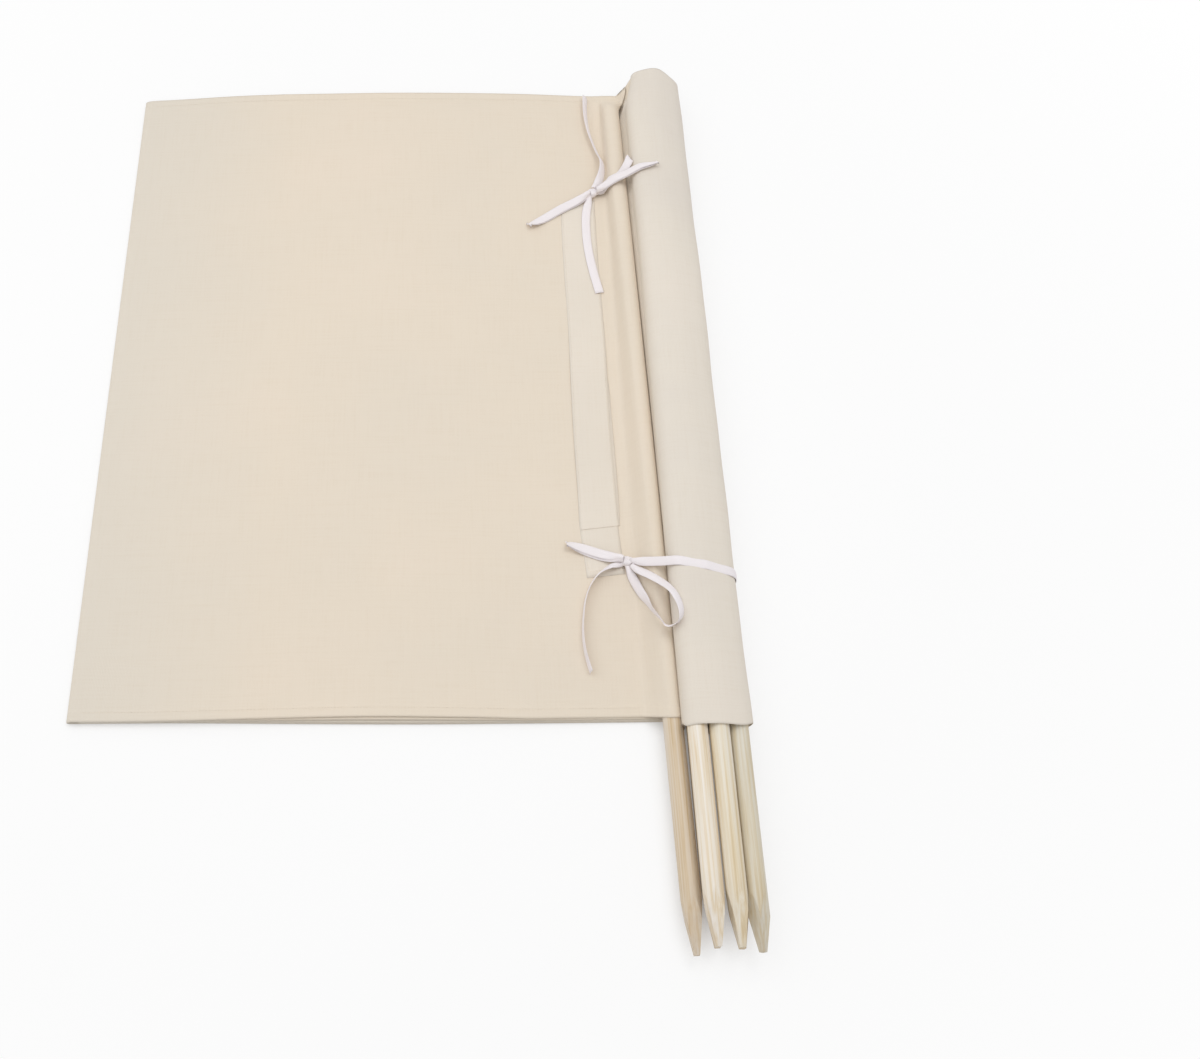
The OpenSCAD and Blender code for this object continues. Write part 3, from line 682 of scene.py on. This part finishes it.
# %% A sheet drawn along a path
HEM_W, HEM_STEP = 11.0, 0.4
EDGE_ROWS = np.array((0, 2.5, 5, 8, HEM_W - 0.6, HEM_W, HEM_W + 0.6, 14, 18, 24, 32, 42, 55, 72))


def rows_along(low, high, step=16):
    """Levels along the poles, close together at both edges."""
    inner = np.arange(low + EDGE_ROWS[-1] + step, high - EDGE_ROWS[-1] - step / 2, step)
    return np.concatenate([low + EDGE_ROWS, inner, (high - EDGE_ROWS)[::-1]])


def cloth_piece(name, nodes, grid, cut, thickness=CLOTH_T, material=None):
    """A sheet from a grid of points; cut gives their places on the flat cloth, along and up."""
    count, tall = grid.shape[:2]
    faces = quads(count, tall, flip=True)
    uvs = np.stack(np.meshgrid(cut[0], cut[1], indexing="ij"), axis=-1).reshape(-1, 2)
    piece = add_piece(name, grid.reshape(-1, 3), faces, uvs, material or CALICO, nodes)
    thick = piece.modifiers.new("thickness", "SOLIDIFY")
    thick.thickness = thickness * MM
    thick.offset = 0
    print(name, "grid", grid.shape[:2], "cut", [round(side[-1] - side[0]) for side in cut])
    return piece


def hem_share(levels):
    """One on a hem's double cloth, nothing past it."""
    return 1 - smooth_step(HEM_W - 0.6, HEM_W + 0.6, np.minimum(levels, CLOTH_H - levels))


def leaf_grid(path, levels, wear=settled):
    x, y = np.meshgrid(path[:, 0], levels, indexing="ij")
    z = np.repeat(path[:, 1:2], len(levels), axis=1)
    return np.stack(wear(x, y, z), axis=-1)


# %% The outer bay: top leaf, outer fold and bottom leaf
levels = rows_along(0, CLOTH_H)
fold = np.array((
    (14, LEAF_Z[9]), (9, 5.45), (5, 5.0), (2, 4.1), (0.5, 2.9), (0.6, 1.6), (2.2, 0.6), (5, 0.25),
    (9, LEAF_Z[0])))
top_run = filled_in([(FOLD_TO_POLE - SEAM_W, LEAF_Z[9]), fold[0]], 9)
floor_run = filled_in([fold[-1], (FOLD_TO_POLE, LEAF_Z[0])], 40)
outer_path = np.vstack([top_run, flowing(fold, 4)[1:], floor_run[1:]])
outer_s = lengths_along(outer_path)
outer_grid = leaf_grid(outer_path, levels)
hem = HEM_STEP * hem_share(levels)
on_top = smooth_step(0, 3, outer_path[:, 1] - 2.6)
outer_grid[:, :, 2] += on_top[:, None] * hem[None, :]
outer_bay = cloth_piece("bay_1_cloth", ["bay_1"], outer_grid, (outer_s, levels))

# %% [markdown]
# ### Inner bays
# The four inner bays are folded once each. Their leaves leave the stack at different places and climb
# between the pockets, each to its own pole, along the same paths as in the solids.

# %% Inner bays
low_z = LOW_LEFT[1]
gap_x = (LOW_LEFT[0] + LOW_RIGHT[0]) / 2
climb_r = AXIS_1[1] - LEAF_Z[8]


def to_up_left():
    beside = (AXIS_1[0] + climb_r, low_z + POCKET_OUT / 2)
    return np.vstack([arc(AXIS_1, climb_r, -90, 0), [beside], arc(UP_LEFT, PASS_R + LEAF_GAP, 235, 235, 0)])


def to_low_left(k):
    return np.array([(LOW_LEFT[0] - (7 - k) * SEAM_W, LEAF_Z[k])])


def to_up_mid(k, side_of_gap):
    a = np.radians(np.linspace(-90, 0, 13))[:, None]
    x = gap_x + side_of_gap * PITCH_Z / 2
    radii = np.linspace(low_z - LEAF_Z[k], x - LOW_LEFT[0], 13)[:, None]
    round_low = LOW_LEFT + radii * np.hstack([np.cos(a), np.sin(a)])
    return np.vstack([round_low, [(x, UP_MID[1] - 0.84 * POCKET_OUT)]])


def to_low_right(k):
    return np.array([
        (LOW_LEFT[0] + POCKET_OUT / 2, LEAF_Z[k]),
        (LOW_RIGHT[0] - POCKET_OUT / 2, LEAF_Z[k + 4]),
        (LOW_RIGHT[0] - (3 - k) * SEAM_W / 2, LEAF_Z[k + 4]),
    ])


def to_side(k):
    return np.vstack([arc(LOW_RIGHT, low_z - LEAF_Z[k], -90, -30), [SIDE + (0, -PASS_R - LEAF_GAP)]])


LEAF_SHOULDER = np.array((4.5, 4, 10.6))
LEAF_TUCK = np.array((30, 0, -26))


def slackened(grid):
    """Above the poles' tops the climbing leaf cuts straight across from the stack to the roll."""
    climb = np.flatnonzero((grid[:, 0, 2] > LEAF_Z[8] + 0.3) & (grid[:, 0, 0] > FOLD_TO_POLE - 5))
    top, low = climb[0], climb[-1]
    a = np.linspace(1.25, 0, low - top + 1)[:, None, None]
    shoulder = grid[top : top + 1] + LEAF_SHOULDER
    straight = grid[low : low + 1] * (1 - a) + shoulder * a
    straight = np.where(a > 1, shoulder + (a - 1) * LEAF_TUCK, straight)
    slack = smooth_step(POLE_TOPS, CLOTH_H, np.clip(grid[0, :, 1], 0, CLOTH_H))[None, :, None]
    grid[top : low + 1] += (straight - grid[top : low + 1]) * slack
    return grid


bay_ends = {2: (8, to_up_left(), to_low_left(7)), 3: (6, to_low_left(6), to_up_mid(5, -1)),
            4: (4, to_up_mid(4, 1), to_low_right(3)), 5: (2, to_low_right(2), to_side(1))}
bay_levels = rows_along(0, CLOTH_H, 40)
for n, (k, upper, lower) in bay_ends.items():
    bend = arc((FOLD_INSET, (LEAF_Z[k] + LEAF_Z[k - 1]) / 2), PITCH_Z / 2, 90, 270, 6)
    path = filled_in(np.vstack([upper[::-1], bend, lower]), 22)
    grid = leaf_grid(path, bay_levels)
    if n == 2:
        grid = slackened(grid)
    path_s = lengths_along(path)
    piece = cloth_piece(f"bay_{n}_cloth", [f"bay_{n}"], grid, (path_s, bay_levels))

# %% [markdown]
# ### The wrapped turn
# The outer bay goes on under the poles, up round the right-hand side, over the top and down into the
# valley. It is drawn taut, so it is straight between poles and only bellies out a little along its length.

# %% The turn round the poles
WRAP_FOOT, WRAP_HEAD = -15.0, CLOTH_H + 8
VALLEY_SLACK, GATHER = 0.8, 0.24
TURN_LEFT, TURN_R = UP_LEFT - (0, VALLEY_SLACK), PASS_R + VALLEY_SLACK
HANG = ((0.3, 24.8), (-0.9, 19.4), (-4.2, 15.6), (-11, 12.6))
over_poles = np.vstack([
    [(FOLD_TO_POLE, LEAF_Z[0])],
    arc(LOW_RIGHT, FLOOR_R, -90, OFF_FLOOR),
    arc(SLACK_SIDE, SLACK_R, OFF_FLOOR, OFF_SIDE),
    arc(UP_MID, PASS_R, OFF_SIDE, 90),
    arc(TURN_LEFT, TURN_R, 90, 180),
])
hang_s = lengths_along(over_poles)[-1]
wrap_corners = np.vstack([over_poles, [(TURN_LEFT[0] - TURN_R + across, level) for across, level in HANG]])
corner_s = lengths_along(wrap_corners)
wrap_s = np.linspace(0, corner_s[-1], int(corner_s[-1] / 2.2))
taut = np.stack([np.interp(wrap_s, corner_s, wrap_corners[:, c]) for c in (0, 1)], axis=1)
soft = taut.copy()
for _ in range(14):
    soft[1:-1] = (soft[:-2] + 2 * soft[1:-1] + soft[2:]) / 4
off_floor = smooth_step(8, 20, taut[:, 1:])
above_valley = np.where(wrap_s[:, None] > hang_s - 8, smooth_step(20, 36, taut[:, 1:]), 1)
wrap_path = taut + (soft - taut) * off_floor
wrap_run = unit(np.gradient(wrap_path, axis=0))
wrap_out = np.stack([wrap_run[:, 1], -wrap_run[:, 0]], axis=1)
wrap_path = wrap_path + wrap_out * off_floor * above_valley * 1.2
wrap_levels = rows_along(WRAP_FOOT, WRAP_HEAD)


def wrapped():
    """The turn's points: slack at its sides, drawn flat by the lower band, gathered at its head."""
    s, y = np.meshgrid(wrap_s, wrap_levels, indexing="ij")
    x, z = wrap_path[:, :1], wrap_path[:, 1:]
    raised = smooth_step(2, 12, z)
    waves = 0.35 + 0.25 * np.sin(y / 96 + s / 31) + 0.18 * np.sin(y / 41 - s / 19 + 0.7)
    waves = waves + 0.1 * np.sin(y / 17 + s / 11)
    loose = 1.1 + 0.9 * smooth_step(42, 28, z)
    pressed = 1 - 0.9 * hump(y, LOWER_KNOT[1] - 14, 16)
    belly = raised * np.maximum(waves, 0) * loose * pressed * above_valley
    hangs = (wrap_s > hang_s - 4)[:, None]
    head = 2 - 12 * smooth_step(SIDE[0] - 14, SIDE[0] + 12, x) - 14 * hangs * smooth_step(38, 22, z)
    foot = -6 + 7 * smooth_step(43, 27, z)
    near_foot, from_middle = y < CLOTH_H / 2, np.abs(y - CLOTH_H / 2)
    edge = np.where(near_foot, foot, head) * raised * smooth_step(330, 395, from_middle)
    joins = (1 - raised) * (1 - smooth_step(FOLD_TO_POLE, LOW_RIGHT[0], x))
    edge = edge + np.where(near_foot, 13.5, -6) * joins * smooth_step(330, 400, from_middle)
    leftward = smooth_step(UP_MID[0] + 9, UP_LEFT[0] - 5, x)
    gathered = raised * GATHER * smooth_step(POLE_TOPS - 8, WRAP_HEAD, y) * leftward
    x, z = x + wrap_out[:, :1] * belly, z + wrap_out[:, 1:] * belly
    beside = np.sqrt(np.maximum((POCKET_R + 0.9) ** 2 - (z - AXIS_1[1]) ** 2, 0))
    x = np.where(hangs & (beside > 0), np.maximum(x, FOLD_TO_POLE - LEAN * y + beside), x)
    middle = (UP_MID + LOW_RIGHT) / 2
    return np.stack([x + (middle[0] - x) * gathered, y + edge, z + (middle[1] - z) * gathered], axis=-1)


wrap_cut = (outer_s[-1] + wrap_s, wrap_levels)
# The turn wears the cooler copy of the calico, painted light for the roll.
wrap = cloth_piece("roll_wrap_cloth", ["roll_wrap"], wrapped(), wrap_cut, material=CALICO_TURN_PAINTED_LIGHT)

# %% [markdown]
# ### Pole pockets
# Each pole stands in a pocket sewn in the cloth. The first one lies open to view as a soft ridge: its
# cloth rises from a straight seam, goes over the pole and tucks into the valley, and past the pole's end
# it falls flat to the edge. The others are close tubes drawn shut at the top.

# %% The first pocket
SEAM_X, LAP_W = 544.5, 14.0
MOUTH_SLANT, MOUTH_LONG, POCKET_HEM = 0.42, 150, 0.35
pocket_levels = np.sort(np.concatenate([rows_along(0, CLOTH_H), np.arange(POLE_TOPS - 24, CLOTH_H - 12, 4)]))


def pocket_section(y):
    """The ridge's cross-section at one level, from its seam to the valley."""
    axis = FOLD_TO_POLE - LEAN * y
    lip = max(axis - SEAM_X, POCKET_R + 1.2)
    seam_z = AXIS_1[1] - POCKET_R
    touch = 90 + 2 * math.degrees(math.atan(POCKET_R / lip))
    over = arc((axis, AXIS_1[1]), POCKET_R, touch, -62, 34)
    start = np.array((axis - lip, seam_z))
    rise = start + (over[0] - start) * np.linspace(0, 1, 11)[:, None]
    lap = start + np.array((-LAP_W, 0)) * np.linspace(1, 0, 11)[:, None]
    lap[:-1, 1] = STACK_H - 0.21
    path = np.vstack([lap[:-1], rise[:-1], over])
    for _ in range(16):
        path[1:24] = (path[:23] + 2 * path[1:24] + path[2:25]) / 4
    path[0, 1] = STACK_H - 1.2
    flat = smooth_step(POLE_TOPS - 6, CLOTH_H - 4, y)
    x = SEAM_X + (path[:, 0] - SEAM_X) * (1 + 0.5 * flat)
    z = np.where(path[:, 1] > seam_z, seam_z + (path[:, 1] - seam_z) * (1 - 0.96 * flat), path[:, 1])
    z = np.where(x > FOLD_TO_POLE - 1, np.maximum(z, seam_z + 1.6 * flat * (x - FOLD_TO_POLE + 1)), z)
    return np.stack([x, z], axis=1)


sections = np.stack([pocket_section(y) for y in pocket_levels], axis=1)
up_share = pocket_levels / CLOTH_H
foot_rise, head_rise = (read_table(table, FOLD_TO_POLE) for table in (EDGE_RISE_FOOT, EDGE_RISE_TOP))
rise = foot_rise * (1 - up_share) + head_rise * up_share
mouth = MOUTH_SLANT * (1 - smooth_step(0, MOUTH_LONG, pocket_levels)) * (sections[:, :, 1] - STACK_H)
pocket_y = pocket_levels + rise - mouth
hem_up = POCKET_HEM * hem_share(pocket_levels)
pocket_grid = np.stack([sections[:, :, 0], pocket_y, sections[:, :, 1] + hem_up], axis=-1)
pocket_cut = lengths_along(pocket_section(CLOTH_H / 2))
first_pocket = cloth_piece("pocket_1_cloth", ["pocket_1"], pocket_grid, (pocket_cut, pocket_levels))

# %% The pockets inside the roll
BELOW_EDGE = 15
levels_in = rows_along(0, CLOTH_H - BELOW_EDGE, 60)
past_pole = np.clip((levels_in - POLE_TOPS) / (levels_in[-1] - POLE_TOPS), 0, 1)
drawn = np.sqrt(np.maximum(1 - past_pole**2, 0.002))
ring = arc((0, 0), POCKET_R, 90, 450, 36)
ring_s = lengths_along(ring)
up_poles = np.broadcast_to(levels_in, (len(ring), len(levels_in)))
for n in range(2, 7):
    middle = pole_axis(n)
    grid = np.stack([middle[0] + ring[:, :1] * drawn, up_poles, middle[1] + ring[:, 1:] * drawn], axis=-1)
    tube = cloth_piece(f"pocket_{n}_cloth", [f"pocket_{n}"], grid, (ring_s, levels_in))

# %% [markdown]
# ## Carrying strap
# The strap is calico folded into a 40 mm band. It is sewn on at both ends and its slack lies folded
# twice on itself, so one fold line shows across it near the lower end. The layers are not quite in line.

# %% The strap
STRAP_FOLDS = (0.479 * CLOTH_H, 0.2575 * CLOTH_H)
STRAP_DROP = (0.5 * CLOTH_H, 0.6 * CLOTH_H)
STRAP_PLY = 0.3
STRAP_STEP = STRAP_PLY + 0.05
strap_z = STACK_H + LEAF_GAP + STRAP_PLY / 2
drop_y = np.linspace(*STRAP_DROP, 11)
drop_z = strap_z + 2 * STRAP_STEP * (1 - smooth_step(*STRAP_DROP, drop_y))
strap_path = filled_in(np.vstack([
    [(STRAP_SPAN[0], strap_z)],
    arc((STRAP_FOLDS[0], strap_z + STRAP_STEP / 2), STRAP_STEP / 2, -90, 90, 6),
    arc((STRAP_FOLDS[1], strap_z + 1.5 * STRAP_STEP), STRAP_STEP / 2, 270, 90, 6),
    np.stack([drop_y, drop_z], axis=1),
    [(STRAP_SPAN[1], strap_z)],
]), 7)
strap_s = lengths_along(strap_path)
layer = np.interp(strap_s, (0, 224, 244, 401, 421, strap_s[-1]), (0, 0, 1, 1, 2, 2))
y = strap_path[:, 0]
foot_turn = np.where(layer < 1, np.clip((STRAP_SPAN[0] + 60 - y) / 60, 0, 1), 0)
shift = 4.2 * foot_turn + np.interp(layer, (0, 1, 2), (0, 1.6, -0.2)) + 0.5 * np.sin(y / 37 + layer)
narrow = 1 - 0.04 * foot_turn
across = np.linspace(-1, 1, 13)
strap_x = STRAP_LEFT + STRAP_W / 2 + shift[:, None] + across[None, :] * narrow[:, None] * STRAP_W / 2
fold_slant = 0.12 * hump(y, STRAP_FOLDS[1], 30) * (layer > 0.5)
top_slant = 0.45 * smooth_step(STRAP_SPAN[1] - 40, STRAP_SPAN[1], y) * (layer > 1.5)
foot_slant = 0.11 * foot_turn
slant = fold_slant[:, None] * across + top_slant[:, None] * (across - 1)
slant = slant + foot_slant[:, None] * (across + 0.7)
strap_y = y[:, None] + slant * STRAP_W / 2
hem_round = 0.25 * (1 - np.abs(across) ** 8) - 0.25
strap_grid = np.stack([strap_x, strap_y, np.repeat(strap_path[:, 1:2], 13, axis=1) + hem_round], axis=-1)
strap_cut = (strap_s, across * STRAP_W / 2)
strap = cloth_piece("carry_strap_cloth", ["carry_strap"], strap_grid, strap_cut, STRAP_PLY, CALICO_STRAP)

# %% [markdown]
# ## Sewing
# Stitches are short raised lengths of thread, one mesh for the hems and one for the strap. They follow the
# cloth's own points, so a row that runs along a hem lifts and slips with it.

# %% Stitch rows
STITCH_PITCH, STITCH_LONG, THREAD_R = 3.0, 2.2, 0.24


def stitch_piece(name, lines):
    """Rows of stitches along lines of points that lie on the cloth."""
    verts, faces = [], []
    for line in lines:
        s = lengths_along(line)
        for at in np.arange(STITCH_PITCH / 2, s[-1] - STITCH_LONG / 2, STITCH_PITCH):
            reach = at + np.array((-1, -0.6, 0, 0.6, 1)) * STITCH_LONG / 2
            spots = np.stack([np.interp(reach, s, line[:, c]) for c in range(3)], axis=1)
            run = unit(spots[4] - spots[0])
            side = unit(np.cross(run, (0, 0, 1)))
            up = np.cross(side, run)
            base = len(verts)
            for spot, fat in zip(spots, (0.15, 0.8, 1, 0.8, 0.15)):
                for j in range(5):
                    b = 2 * math.pi * j / 5
                    round_thread = side * math.cos(b) + up * (math.sin(b) * 0.8)
                    verts.append(spot + THREAD_R * fat * round_thread + up * THREAD_R * (fat - 0.4))
            faces += quads(5, 5, base, wraps=(False, True))
            faces += [tuple(base + j for j in range(5))[::-1], tuple(base + 20 + j for j in range(5))]
    add_piece(name, verts, faces, None, THREAD)
    print(name, len(faces) // 22, "stitches")


def along_leaf(x0, x1, level):
    x = np.linspace(x0, x1, 90)
    x, y, z = settled(x, np.full_like(x, level), np.full_like(x, LEAF_Z[9]))
    return np.stack([x, y, z + HEM_STEP + CLOTH_T / 2], axis=1)


def along_strap(i0, i1, share):
    line = np.array([[np.interp(share, across, row[:, c]) for c in range(3)] for row in strap_grid[i0:i1]])
    return line + np.array((0, 0, STRAP_PLY / 2))


in_hem = HEM_W - 1.6
stitch_piece("hem_stitches", [along_leaf(14, 558, level) for level in (in_hem, CLOTH_H - in_hem)])
top_rows = np.flatnonzero(layer > 1.7)
foot_rows = np.flatnonzero((layer < 0.5) & (y < STRAP_FOLDS[1] - 4))
strap_lines = [along_strap(top_rows[0] + 3, top_rows[-1], s) for s in (-0.88, 0.88)]
strap_lines += [along_strap(foot_rows[1], foot_rows[-1], s) for s in (-0.86, 0.86)]
cross_row = strap_grid[foot_rows[1], 1:-1] + np.array((0, 0, STRAP_PLY / 2))
stitch_piece("strap_stitches", [*strap_lines, cross_row])

# %% [markdown]
# ## Floor and light
# A plain white floor under soft studio light: a large lamp high at the right, a weaker one at the left
# and an even sky. To the camera the floor is lifted part of the way to pure white near the pack, where it
# keeps the soft shadow, and all the way farther out, so that it reads as a white sweep with no horizon.


# %% Floor
def seen_directly(tree):
    """One where the camera looks straight at a surface, or through a mirror or glass."""
    rays = add_node(tree, "LightPath").outputs
    mirrored = add_node(
        tree, "Math", {"operation": "MAXIMUM"}, {0: rays["Is Glossy Ray"], 1: rays["Is Transmission Ray"]})
    watched = add_node(tree, "Math", {"operation": "MAXIMUM"}, {0: rays["Is Camera Ray"], 1: mirrored})
    return watched.outputs["Value"]


FLOOR_HALF, FLOOR_Z = 6, -0.0004
floor_corners = [(FLOOR_HALF * x, FLOOR_HALF * y, FLOOR_Z) for x, y in ((-1, -1), (1, -1), (1, 1), (-1, 1))]
floor_mesh = bpy.data.meshes.new("floor")
floor_mesh.from_pydata(floor_corners, [], [(0, 1, 2, 3)])
floor = bpy.data.objects.new("floor", floor_mesh)
bpy.context.scene.collection.objects.link(floor)
sweep, tree, shader = new_finish(
    "white_sweep", {"Base Color": linear("#f6f6f6"), "Roughness": 0.9, "Specular IOR Level": 0.1})
glow = add_node(tree, "Emission", {"Color": (1, 1, 1, 1), "Strength": 1})
watched = seen_directly(tree)
open_sky = add_node(tree, "AmbientOcclusion", {"samples": 8, "Distance": 0.02}).outputs["AO"]
place = add_node(tree, "TexCoord").outputs["Object"]
away = add_node(tree, "VectorMath", {"operation": "LENGTH"}, {0: place}).outputs["Value"]
whiter = {"From Min": 0.55, "From Max": 1.2, "To Min": 0.72, "To Max": 1}
share = add_node(tree, "MapRange", whiter, {"Value": away})
lit = add_node(tree, "Math", {"operation": "MULTIPLY"}, {0: open_sky, 1: share})
seen = add_node(tree, "Math", {"operation": "MULTIPLY"}, {0: watched, 1: lit})
mixed = add_node(tree, "MixShader", None, {0: seen, 1: shader, 2: glow})
tree.links.new(mixed.outputs["Shader"], tree.nodes["Material Output"].inputs["Surface"])
floor_mesh.materials.append(sweep)
floor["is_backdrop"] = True

# %% Lamps and sky
LAMPS = (("key_lamp", (0.6, 0.3, 1.9), 0.9, 8), ("fill_lamp", (-1.1, 0.2, 1.7), 2.0, 11))
for name, place, size, power in LAMPS:
    lamp = bpy.data.objects.new(name, bpy.data.lights.new(name, "AREA"))
    lamp.data.size, lamp.data.energy = size, power
    lamp.location = place
    lamp.rotation_euler = (-Vector(place)).to_track_quat("-Z", "Y").to_euler()
    bpy.context.scene.collection.objects.link(lamp)
world = bpy.data.worlds.new("soft_sky")
world.use_nodes = True
tree = world.node_tree
sky = tree.nodes["Background"]
sky.inputs["Color"].default_value = (1, 1, 1, 1)
sky.inputs["Strength"].default_value = 0.66
backdrop = add_node(tree, "Background", {"Color": (1, 1, 1, 1), "Strength": 1})
mixed = add_node(tree, "MixShader", None, {0: seen_directly(tree), 1: sky, 2: backdrop})
tree.links.new(mixed.outputs["Shader"], tree.nodes["World Output"].inputs["Surface"])
bpy.context.scene.world = world
bpy.context.scene.view_settings.view_transform = "Standard"
print("lamps", [name for name, *_ in LAMPS])

# %% [markdown]
# ## Size
# The box of the solids and the box of the dressed pack are printed side by side.

visual_box = [list(corner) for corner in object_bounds()]
sizes = [[round(b - a, 4) for a, b in zip(*box)] for box in (cad_box, visual_box)]
print("solids", sizes[0], "dressed", sizes[1])
